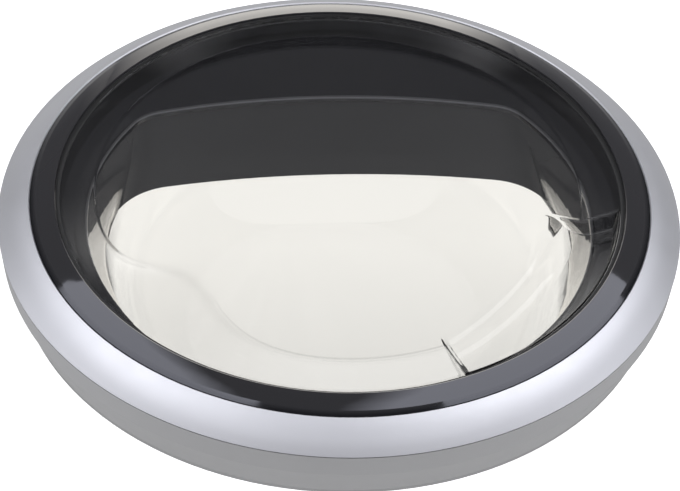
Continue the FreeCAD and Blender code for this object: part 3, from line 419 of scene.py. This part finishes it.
def cover_painted_shade(radius, degrees):
    """Painted shade: a dark line along the near part of the dish edge, and a soft shade on the wall and its
    swelling.
    """
    out = radius - dish_edge(degrees)
    turn = math.remainder(degrees, 360)
    if END_LOWER[0] - POCKET_MARGIN < turn < END_UPPER[0] + POCKET_MARGIN:
        return 0.0
    bulge = swelling(degrees)
    near = max(0.0, -math.sin(math.radians(turn))) * (1 - bulge)
    painted_shade = near * (shade(out, *LINE_SHADE) + shade(out, *WALL_SHADE)) + bulge * shade(out, *SWELL_SHADE)
    return painted_shade + BASE_PAINTED_SHADE * min(1.0, max(0.0, out / BASE_RUN))


def spread_values(first, stops):
    """Values from the first one through the stops, each given with the count of steps to it."""
    values = [first]
    for stop, count in stops:
        start = values[-1]
        values += [start + (stop - start) * k / count for k in range(1, count + 1)]
    return values


# Directions of the rays, close together at the pocket's ends; the last one would repeat the first
cover_rays = spread_values(-70.0, ((-62.0, 32), (-11.0, 51), (-2.0, 36), (175.0, 118), (230.0, 55),
                                   (290.0, 40)))[:-1]


def cover_rings(degrees):
    """Radii along one ray, close together across the dish edge."""
    edge = dish_edge(degrees)
    return spread_values(4.0, ((0.7 * edge, 12), (edge - 3.0, 36), (edge + 3.0, 17), (RIM_R - 1.0, 46),
                               (COVER_R, 8)))


# Rays that run along the pocket's ends, and how far to each side others bend with them
UPPER_RAY = -7.0
LOWER_RAY = -66.6
BEND_REACH = 25.0


def ray_angle(degrees, radius):
    """Bends the rays near the pocket's ends so that they follow the end walls."""
    turn = 0.0
    for end, middle in ((upper_end, UPPER_RAY), (lower_end, LOWER_RAY)):
        off = abs(math.remainder(degrees - middle, 360))
        turn += max(0.0, 1 - off / BEND_REACH) * (end.angle(radius) - middle)
    return degrees + turn


RIM_TOLERANCE = 0.1


def cover_mesh():
    """Both faces of the cover as rays of points round a middle point, closed along the outer rim."""
    points = [(0, 0, SEAM + (DISH_FLOOR - below) * MM) for below in (0.0, COVER_T)]
    faces = []
    painted_shades = [0.0, 0.0]
    rings = len(cover_rings(0.0))
    for degrees in cover_rays:
        for below in (0.0, COVER_T):
            for radius in cover_rings(degrees):
                angle = ray_angle(degrees, radius)
                p = polar(radius, angle)
                points.append((p.x * MM, p.y * MM, SEAM + cover_height(p, angle, below) * MM))
                painted_shades.append(cover_painted_shade(radius, angle))
    total = len(cover_rays)

    def at(ray, face, ring):
        return 2 + ((ray % total) * 2 + face) * rings + ring

    for k in range(total):
        faces.append((0, at(k, 0, 0), at(k + 1, 0, 0)))
        faces.append((1, at(k + 1, 1, 0), at(k, 1, 0)))
        for j in range(rings - 1):
            faces.append((at(k, 0, j), at(k, 0, j + 1), at(k + 1, 0, j + 1), at(k + 1, 0, j)))
            faces.append((at(k, 1, j), at(k + 1, 1, j), at(k + 1, 1, j + 1), at(k, 1, j + 1)))
        last = rings - 1
        faces.append((at(k, 0, last), at(k, 1, last), at(k + 1, 1, last), at(k + 1, 0, last)))
    mesh = bpy.data.meshes.new("cover")
    mesh.from_pydata(points, [], faces)
    mesh.update()
    mesh.shade_smooth()
    # Painted shade for each point, read by the clear material
    mesh.attributes.new("painted_shade", "FLOAT", "POINT").data.foreach_set("value", painted_shades)
    for edge in mesh.edges:
        a, b = (mesh.vertices[v].co for v in edge.vertices)
        if min(a.xy.length, b.xy.length) > (COVER_R - RIM_TOLERANCE) * MM:
            edge.use_edge_sharp = True
    return mesh


cover = bpy.data.objects.new("cover", cover_mesh())
bpy.context.collection.objects.link(cover)
cover.data.materials.append(cover_clear)
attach(cover, "door")
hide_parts("window_cover")

# Floor: white with a little glow, dimmer in reflections; where it shows through the glass it is a warm glow
# of set colour, painted light graded darker towards the near side
FLOOR_SIZE = 14.0
FLOOR_PAINT = (0.86, 0.86, 0.86, 1)
FLOOR_GLOW = 0.50
FLOOR_GLOW_SEEN = 0.35
FLOOR_MIRRORED = (0.38, 0.52)
FLOOR_BEHIND = ((0.63, 0.627, 0.608), (1.03, 1.01, 0.97))
WHITE = (1, 1, 1, 1)


def floor_material():
    m, tree, out = new_material("floor_white")
    path = add(tree, "ShaderNodeLightPath").outputs
    away = axes(tree, "Object")["Y"]
    paint = add(tree, "ShaderNodeBsdfDiffuse", {"Color": FLOOR_PAINT})
    seen = add(tree, "ShaderNodeMath", {1: FLOOR_GLOW_SEEN, 2: FLOOR_GLOW}, operation="MULTIPLY_ADD")
    tree.links.new(path["Is Camera Ray"], seen.inputs[0])
    glow = add(tree, "ShaderNodeEmission", {"Color": WHITE})
    tree.links.new(seen.outputs["Value"], glow.inputs["Strength"])
    both = add(tree, "ShaderNodeAddShader")
    tree.links.new(paint.outputs["BSDF"], both.inputs[0])
    tree.links.new(glow.outputs["Emission"], both.inputs[1])
    mirrored = add(tree, "ShaderNodeEmission")
    tree.links.new(ramp(tree, away, 0.25, 0.6, *FLOOR_MIRRORED), mirrored.inputs["Strength"])
    # Painted light: a set glow, darker towards the near side, in place of the lit floor seen through the
    # glass
    behind = add(tree, "ShaderNodeEmission")
    graded = mix_colour(tree, ramp(tree, away, -0.25, 0.08), *FLOOR_BEHIND)
    tree.links.new(graded, behind.inputs["Color"])
    shown = mix_shader(tree, path["Is Glossy Ray"], both.outputs["Shader"], mirrored.outputs["Emission"])
    shown = mix_shader(tree, path["Is Transmission Ray"], shown, behind.outputs["Emission"])
    tree.links.new(shown, out.inputs["Surface"])
    return m


bpy.ops.mesh.primitive_plane_add(size=FLOOR_SIZE, location=(0, 0, 0))
floor = bpy.context.object
floor.name = "floor"
floor.data.materials.append(floor_material())

# Room light: bright low behind the door, dim overhead, brighter high before it, white to the camera
ROOM_LOW = ((0.15, 0.15, 0.155), (0.12, 0.12, 0.125))
ROOM_LOW_BACK = (1.0, 0.99, 0.98)
ROOM_HIGH = ((0.15, 0.15, 0.16), (0.80, 0.80, 0.84))


def room_light():
    world = bpy.data.worlds.new("room")
    world.use_nodes = True
    tree = world.node_tree
    tree.nodes.clear()
    out = tree.nodes.new("ShaderNodeOutputWorld")
    way = axes(tree, "Generated")
    above = ramp(tree, way["Z"], 0.05, 0.45)
    back = ramp(tree, way["Y"], 0.75, 0.97)
    nearer = ramp(tree, way["Y"], -0.3, -0.8)
    low_tint = mix_colour(tree, back, mix_colour(tree, nearer, *ROOM_LOW), ROOM_LOW_BACK)
    front = calculate(tree, "MULTIPLY", ramp(tree, way["Y"], -0.15, -0.45),
                      ramp(tree, way["Y"], -0.50, -0.80, 1.0, 0.40))
    high_tint = mix_colour(tree, front, *ROOM_HIGH)
    room = add(tree, "ShaderNodeBackground", {"Strength": 1.0})
    tree.links.new(mix_colour(tree, above, low_tint, high_tint), room.inputs["Color"])
    white = add(tree, "ShaderNodeBackground", {"Color": WHITE})
    path = add(tree, "ShaderNodeLightPath").outputs
    mixed = mix_shader(tree, path["Is Camera Ray"], room.outputs["Background"], white.outputs["Background"])
    tree.links.new(mixed, out.inputs["Surface"])
    return world


bpy.context.scene.world = room_light()

# Lamps, set out in metres and turned with the photo's camera about the door's axis
TURN = math.radians(5.8)
LAMP = (0.95, 0.955, 1.0)
BOX_HEIGHT = 1.0
NEAR_EDGE = Vector((0, -0.205))
STRIP = (1.0, 0.95, 0.85)
STRIP_BACK = 2.2
STRIP_FADE = ((0.0, 0.25), (1.0, 0.82))


def light_group(name, *pieces):
    group = bpy.data.collections.new(name)
    for piece in pieces:
        group.objects.link(piece)
    return group


all_but_cover = light_group("not_the_cover", cover)
all_but_cover.collection_objects[0].light_linking.link_state = "EXCLUDE"
cover_only = light_group("cover_lit", cover)
rim = light_group("rim_lit", nodes["trim_ring"], nodes["outer_frame"])
black_ring = light_group("strip_lit", nodes["bezel_ring"])


def area_light(name, width, depth, radiance, colour, place, group):
    """Rectangular soft light for one group of pieces."""
    data = bpy.data.lights.new(name, "AREA")
    data.shape = "RECTANGLE"
    data.size = width
    data.size_y = depth
    data.energy = radiance * math.pi * data.size * data.size_y
    data.color = colour
    lamp = bpy.data.objects.new(name, data)
    lamp.visible_transmission = False
    bpy.context.collection.objects.link(lamp)
    lamp.matrix_world = Matrix.Rotation(-TURN, 4, "Z") @ place
    lamp.light_linking.receiver_collection = group
    return lamp


def fade(lamp, *ends):
    """Lets a lamp fade out at one or both ends, each between two shares of its length."""
    lamp.data.use_nodes = True
    tree = lamp.data.node_tree
    split = add(tree, "ShaderNodeSeparateXYZ")
    tree.links.new(add(tree, "ShaderNodeNewGeometry").outputs["Parametric"], split.inputs[0])
    share, *others = [ramp(tree, split.outputs["X"], *end) for end in ends]
    for other in others:
        share = calculate(tree, "MULTIPLY", share, other)
    glow = next(n for n in tree.nodes if n.type == "EMISSION")
    tree.links.new(share, glow.inputs["Strength"])


def softbox(name, start, end, depth, radiance, group):
    """Light facing down. One long side runs from start to end, measured from the near edge of the
    door, and the box lies to the camera's side of it."""
    p, q = Vector(start), Vector(end)
    along = (q - p).normalized()
    back = Vector((along.y, -along.x))
    if back.y > 0:
        back = -back
    middle = NEAR_EDGE + ((p + q) / 2 + back * (depth / 2))
    place = Matrix.Translation((middle.x, middle.y, SEAM + BOX_HEIGHT))
    face = Matrix.Rotation(math.atan2(along.y, along.x), 4, "Z")
    return area_light(name, (q - p).length, depth, radiance, LAMP, place @ face, group)


def side_fill(name, x, y0, y1, z0, z1, radiance):
    """Upright light at one side of the door, facing it."""
    place = Matrix.Translation((x, (y0 + y1) / 2, (z0 + z1) / 2))
    face = Matrix.Rotation(math.copysign(math.pi / 2, x), 4, "Y")
    area_light(name, z1 - z0, y1 - y0, radiance, LAMP, place @ face, rim)


def strip(name, x0, x1, z0, z1, radiance):
    """Upright light behind the door, for the black ring only."""
    place = Matrix.Translation(((x0 + x1) / 2, STRIP_BACK, (z0 + z1) / 2))
    face = Matrix.Rotation(math.radians(-90), 4, "X")
    fade(area_light(name, x1 - x0, z1 - z0, radiance, STRIP, place @ face, black_ring), *STRIP_FADE)


# The two large boxes light all but the clear cover, which has a smaller one of its own
fade(softbox("box_left", (-1.152, 0.694), (-0.402, 0.908), 1.0, 2.5, all_but_cover), (1.0, 0.85))
fade(softbox("box_right", (0.290, 1.138), (1.248, 0.851), 1.1, 2.6, all_but_cover), (0.0, 0.12))
softbox("box_pocket", (0.769, 0.9945), (1.248, 0.851), 1.1, 1.6, cover_only)

# Fill for the silver ring and the grey body, beside and before the door
softbox("fill_left", (-1.556, 0.579), (-1.152, 0.694), 1.2, 1.9, rim)
softbox("fill_right", (1.248, 0.851), (1.535, 0.765), 1.2, 1.45, rim)
softbox("fill_near_left", (-0.95, -0.20), (-0.25, -0.20), 0.5, 0.9, rim)
softbox("fill_near_right", (0.25, -0.20), (0.95, -0.20), 0.5, 0.8, rim)
side_fill("side_left", -1.5, -1.0, 0.4, 0.1, 0.9, 1.2)
side_fill("side_right", 1.5, -1.0, 0.5, 0.1, 0.9, 1.1)

# Strips behind the door: a tall one, and a low one that reaches farther
strip("strip_tall", -0.80, 0.52, 0.32, 2.20, 2.8)
strip("strip_low", -0.95, 0.60, 0.32, 1.32, 1.0)

# Camera as in the photograph: frame, focal length and centre in its pixels, distance in metres
FRAME_W, FRAME_H = 680.0, 491.0
FOCAL = 2834.6
CENTRE_X, CENTRE_Y = 339.96, 209.02
ELEVATION = math.radians(41.84)
ROLL = math.radians(2.64)
DISTANCE = 2.0
SENSOR = 36.0


def photo_camera():
    target = Vector((0, 0, SEAM))
    flat = Vector((-math.sin(TURN), -math.cos(TURN), 0))
    place = target + (flat * math.cos(ELEVATION) + Vector((0, 0, math.sin(ELEVATION)))) * DISTANCE
    forward = (target - place).normalized()
    level = Vector((math.cos(TURN), -math.sin(TURN), 0))
    upright = level.cross(forward)
    right = level * math.cos(ROLL) + upright * math.sin(ROLL)
    up = -level * math.sin(ROLL) + upright * math.cos(ROLL)
    shift_x = (FRAME_W / 2 - CENTRE_X) / FOCAL
    shift_y = (FRAME_H / 2 - CENTRE_Y) / FOCAL
    aim = (forward + right * shift_x - up * shift_y).normalized()
    side = aim.cross(up).normalized()
    top = side.cross(aim)
    data = bpy.data.cameras.new("view")
    data.sensor_width = SENSOR
    data.lens = FOCAL * SENSOR / FRAME_W
    camera = bpy.data.objects.new("view", data)
    bpy.context.collection.objects.link(camera)
    camera.matrix_world = Matrix((
        (side.x, top.x, -aim.x, place.x),
        (side.y, top.y, -aim.y, place.y),
        (side.z, top.z, -aim.z, place.z),
        (0, 0, 0, 1)))
    return camera


bpy.context.scene.camera = photo_camera()
bpy.context.scene.view_settings.view_transform = "Standard"
